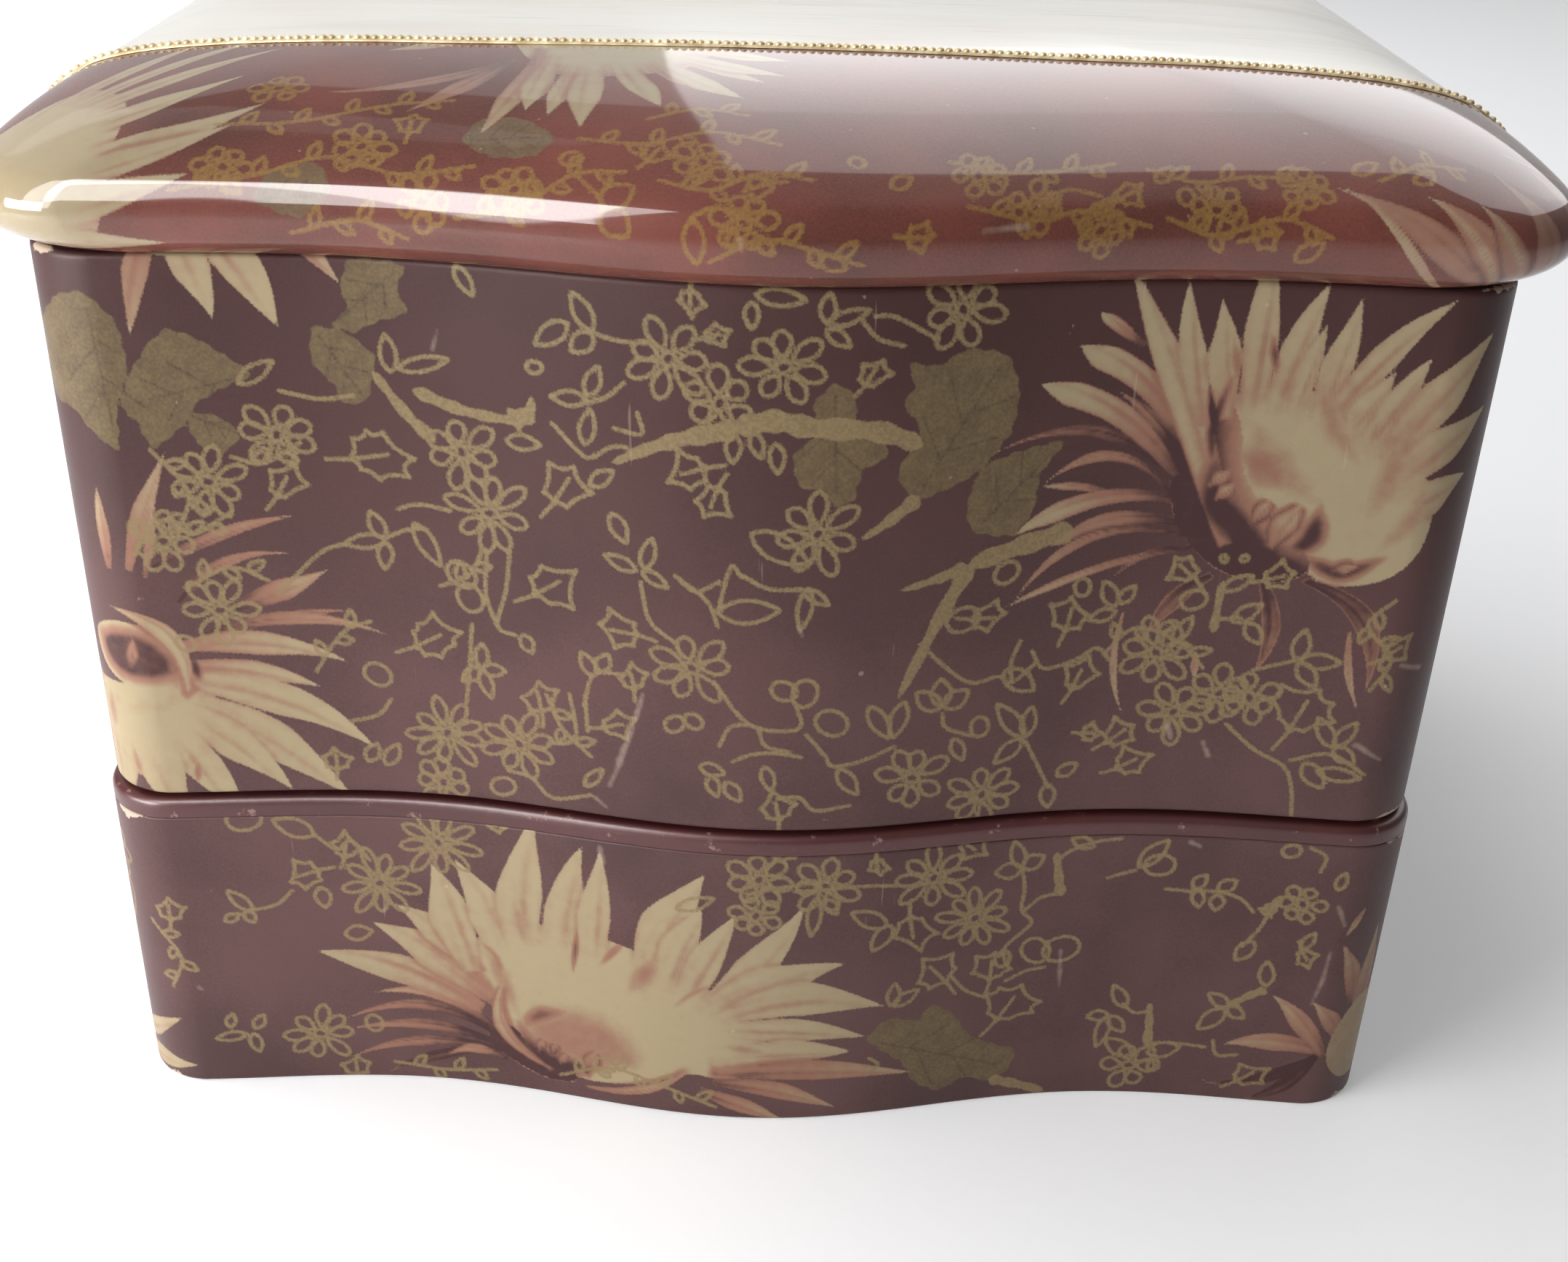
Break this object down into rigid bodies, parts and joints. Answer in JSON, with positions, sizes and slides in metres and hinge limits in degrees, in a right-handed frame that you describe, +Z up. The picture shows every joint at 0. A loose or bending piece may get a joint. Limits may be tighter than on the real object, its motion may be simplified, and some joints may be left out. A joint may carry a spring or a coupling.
{
  "type": "two-tier dresser box",
  "caption": "Closed two-tier dresser box with serpentine front, printed paper covers, a crowned lid with a celluloid panel and rear hinges between trays and lid.",
  "frame": {"origin": "on the surface that the box stands on, under the middle of its overall box", "axes": "+X to the right as seen from the front, +Y from the serpentine front to the hinged back, +Z up"},
  "size_m": [0.2, 0.1794, 0.1531],
  "materials": {
    "board": "matte",
    "printed_paper": "satin",
    "varnished_print": "gloss",
    "red_rim": "gloss",
    "sateen": "satin",
    "celluloid": "gloss",
    "gilt": "satin",
    "brass": "satin"
  },
  "bodies": {
    "lower_tray": {"lower_bottom_board": "board", "lower_front_wall": "board", "lower_back_wall": "board", "lower_left_wall": "board", "lower_right_wall": "board", "lower_rim": "red_rim", "lower_print_cover": "printed_paper", "lower_lining": "sateen", "lower_floor_pad": "sateen", "tray_hinge_left_lower_leaf": "brass", "tray_hinge_left_pin": "brass", "tray_hinge_left_lower_tack_a": "brass", "tray_hinge_left_lower_tack_b": "brass", "tray_hinge_right_lower_leaf": "brass", "tray_hinge_right_pin": "brass", "tray_hinge_right_lower_tack_a": "brass", "tray_hinge_right_lower_tack_b": "brass"},
    "upper_tray": {"upper_floor_board": "board", "upper_front_wall": "board", "upper_back_wall": "board", "upper_left_wall": "board", "upper_right_wall": "board", "upper_print_cover": "printed_paper", "upper_lining": "sateen", "upper_floor_pad": "sateen", "tray_hinge_left_upper_leaf": "brass", "tray_hinge_left_upper_tack_a": "brass", "tray_hinge_left_upper_tack_b": "brass", "tray_hinge_right_upper_leaf": "brass", "tray_hinge_right_upper_tack_a": "brass", "tray_hinge_right_upper_tack_b": "brass", "lid_hinge_left_lower_leaf": "brass", "lid_hinge_left_pin": "brass", "lid_hinge_left_lower_tack_a": "brass", "lid_hinge_left_lower_tack_b": "brass", "lid_hinge_right_lower_leaf": "brass", "lid_hinge_right_pin": "brass", "lid_hinge_right_lower_tack_a": "brass", "lid_hinge_right_lower_tack_b": "brass"},
    "lid": {"lid_core": "board", "lid_print_cover": "varnished_print", "lid_panel": "celluloid", "lid_trim": "gilt", "lid_pad": "sateen", "lid_hinge_left_upper_leaf": "brass", "lid_hinge_left_upper_tack_a": "brass", "lid_hinge_left_upper_tack_b": "brass", "lid_hinge_right_upper_leaf": "brass", "lid_hinge_right_upper_tack_a": "brass", "lid_hinge_right_upper_tack_b": "brass"}
  },
  "joints": [
    {"name": "tray_hinge", "type": "hinge", "parent": "lower_tray", "child": "upper_tray", "pos_m": [0, 0.08787, 0.052], "axis": [-1, 0, 0], "range_deg": [0, 75]},
    {"name": "lid_hinge", "type": "hinge", "parent": "upper_tray", "child": "lid", "pos_m": [0, 0.08787, 0.13085], "axis": [-1, 0, 0], "range_deg": [0, 100]}
  ]
}
